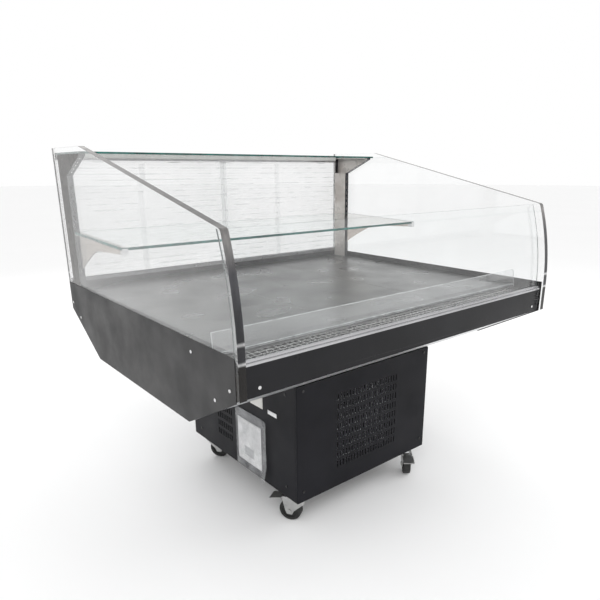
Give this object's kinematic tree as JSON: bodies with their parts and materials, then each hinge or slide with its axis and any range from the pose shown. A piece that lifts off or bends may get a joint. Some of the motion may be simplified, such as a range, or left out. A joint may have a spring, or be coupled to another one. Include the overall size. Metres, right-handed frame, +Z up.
{
  "type": "refrigerated deli case",
  "caption": "Open-front refrigerated deli case: clear end panels, bowed front glass, glass shelf, sliding rear doors, insulated well on a wheeled condensing-unit pedestal.",
  "frame": {"origin": "centre of the footprint, on the floor", "axes": "+X along the case towards its right end, +Y from the customer's side to the service side, +Z up"},
  "size_m": [1.3, 1.12, 1.178],
  "materials": {
    "clear_acrylic": "gloss",
    "clear_glass": "gloss",
    "black_paint": "satin",
    "stainless": "satin",
    "galvanised": "satin",
    "aluminium_profile": "satin",
    "foam": "matte",
    "zinc": "satin",
    "screw_steel": "satin",
    "wheel_rubber": "satin",
    "twin_wall": "gloss",
    "lamp": "matte",
    "coil_fins": "satin",
    "copper": "satin",
    "compressor_black": "satin",
    "dark_plastic": "satin",
    "pouch": "gloss",
    "fan_plastic": "satin",
    "motor_steel": "satin",
    "shelf_steel": "gloss"
  },
  "bodies": {
    "case": {"end_panel_left": "clear_acrylic", "end_panel_right": "clear_acrylic", "side_cover_left": "black_paint", "side_cover_right": "black_paint", "cover_screws": "screw_steel", "front_fascia": "black_paint", "front_sill": "aluminium_profile", "front_glass": "clear_glass", "roof_glass": "clear_glass", "tub_underside": "galvanised", "tub_insulation": "foam", "tub_liner": "stainless", "air_riser": "clear_acrylic", "rear_ledge": "black_paint", "door_tracks": "aluminium_profile", "rear_uprights": "stainless", "top_brackets": "stainless", "led_lamp": "lamp", "shelf_glass": "clear_glass", "shelf_arms": "shelf_steel", "shelf_clips": "zinc", "evaporator_coil": "coil_fins", "evaporator_fan_plate": "galvanised", "fan_motors": "motor_steel", "drain_pipe": "dark_plastic", "pedestal_frame": "black_paint", "pedestal_front_panel": "black_paint", "pedestal_side_left": "black_paint", "pedestal_side_right": "black_paint", "pedestal_rear_panel": "black_paint", "pedestal_screws": "screw_steel", "condenser_coil": "coil_fins", "fan_shroud": "galvanised", "compressor": "compressor_black", "refrigerant_pipes": "copper", "drip_tray": "dark_plastic", "controller": "dark_plastic", "power_inlet": "dark_plastic", "caster_plates": "zinc", "document_pouch": "pouch"},
    "deck_pan_left": {"deck_pan_left": "stainless"},
    "deck_pan_centre": {"deck_pan_centre": "stainless"},
    "deck_pan_right": {"deck_pan_right": "stainless"},
    "return_grille": {"return_grille": "stainless"},
    "rear_door_left": {"rear_door_left": "twin_wall"},
    "rear_door_right": {"rear_door_right": "twin_wall"},
    "evaporator_fan_left": {"evaporator_fan_left": "fan_plastic"},
    "evaporator_fan_right": {"evaporator_fan_right": "fan_plastic"},
    "condenser_fan": {"condenser_fan": "fan_plastic"},
    "power_switch": {"power_switch": "dark_plastic"},
    "swivel_front_left": {"caster_fork_front_left": "zinc"},
    "wheel_front_left": {"caster_wheel_front_left": "wheel_rubber"},
    "swivel_front_right": {"caster_fork_front_right": "zinc"},
    "wheel_front_right": {"caster_wheel_front_right": "wheel_rubber"},
    "swivel_rear_left": {"caster_fork_rear_left": "zinc"},
    "wheel_rear_left": {"caster_wheel_rear_left": "wheel_rubber"},
    "swivel_rear_right": {"caster_fork_rear_right": "zinc"},
    "wheel_rear_right": {"caster_wheel_rear_right": "wheel_rubber"},
    "pedal_front_left": {"brake_pedal_front_left": "zinc"},
    "pedal_front_right": {"brake_pedal_front_right": "zinc"}
  },
  "joints": [
    {"name": "deck_pan_left_lift", "type": "slide", "parent": "case", "child": "deck_pan_left", "axis": [0, 0, 1], "range_m": [0, 0.05]},
    {"name": "deck_pan_centre_lift", "type": "slide", "parent": "case", "child": "deck_pan_centre", "axis": [0, 0, 1], "range_m": [0, 0.05]},
    {"name": "deck_pan_right_lift", "type": "slide", "parent": "case", "child": "deck_pan_right", "axis": [0, 0, 1], "range_m": [0, 0.05]},
    {"name": "return_grille_lift", "type": "slide", "parent": "case", "child": "return_grille", "axis": [0, 0, 1], "range_m": [0, 0.04]},
    {"name": "rear_door_left_slide", "type": "slide", "parent": "case", "child": "rear_door_left", "axis": [1, 0, 0], "range_m": [0, 0.61]},
    {"name": "rear_door_right_slide", "type": "slide", "parent": "case", "child": "rear_door_right", "axis": [-1, 0, 0], "range_m": [0, 0.61]},
    {"name": "evaporator_fan_left_spin", "type": "hinge", "parent": "case", "child": "evaporator_fan_left", "pos_m": [-0.26833, -0.33, 0.6244], "axis": [0, 1, 0], "continuous": true},
    {"name": "evaporator_fan_right_spin", "type": "hinge", "parent": "case", "child": "evaporator_fan_right", "pos_m": [0.26833, -0.33, 0.6244], "axis": [0, 1, 0], "continuous": true},
    {"name": "condenser_fan_spin", "type": "hinge", "parent": "case", "child": "condenser_fan", "pos_m": [0, -0.202, 0.306], "axis": [0, 1, 0], "continuous": true},
    {"name": "power_switch_rock", "type": "hinge", "parent": "case", "child": "power_switch", "pos_m": [0.15, 0.335, 0.437], "axis": [1, 0, 0], "range_deg": [-16, 0]},
    {"name": "swivel_front_left", "type": "hinge", "parent": "case", "child": "swivel_front_left", "pos_m": [-0.258, -0.278, 0.092], "axis": [0, 0, 1], "continuous": true},
    {"name": "wheel_front_left_roll", "type": "hinge", "parent": "swivel_front_left", "child": "wheel_front_left", "pos_m": [-0.27602, -0.24917, 0.0375], "axis": [-0.848, -0.5299, 0], "continuous": true},
    {"name": "swivel_front_right", "type": "hinge", "parent": "case", "child": "swivel_front_right", "pos_m": [0.258, -0.278, 0.092], "axis": [0, 0, 1], "continuous": true},
    {"name": "wheel_front_right_roll", "type": "hinge", "parent": "swivel_front_right", "child": "wheel_front_right", "pos_m": [0.23569, -0.30366, 0.0375], "axis": [0.7547, -0.6561, 0], "continuous": true},
    {"name": "swivel_rear_left", "type": "hinge", "parent": "case", "child": "swivel_rear_left", "pos_m": [-0.258, 0.295, 0.092], "axis": [0, 0, 1], "continuous": true},
    {"name": "wheel_rear_left_roll", "type": "hinge", "parent": "swivel_rear_left", "child": "wheel_rear_left", "pos_m": [-0.23802, 0.26749, 0.0375], "axis": [0.809, 0.5878, 0], "continuous": true},
    {"name": "swivel_rear_right", "type": "hinge", "parent": "case", "child": "swivel_rear_right", "pos_m": [0.258, 0.295, 0.092], "axis": [0, 0, 1], "continuous": true},
    {"name": "wheel_rear_right_roll", "type": "hinge", "parent": "swivel_rear_right", "child": "wheel_rear_right", "pos_m": [0.27183, 0.32606, 0.0375], "axis": [-0.9135, 0.4067, 0], "continuous": true},
    {"name": "brake_pedal_front_left_press", "type": "hinge", "parent": "swivel_front_left", "child": "pedal_front_left", "pos_m": [-0.28503, -0.23475, 0.08], "axis": [-0.848, -0.5299, 0], "range_deg": [0, 12]},
    {"name": "brake_pedal_front_right_press", "type": "hinge", "parent": "swivel_front_right", "child": "pedal_front_right", "pos_m": [0.22454, -0.31649, 0.08], "axis": [0.7547, -0.6561, 0], "range_deg": [0, 12]}
  ]
}
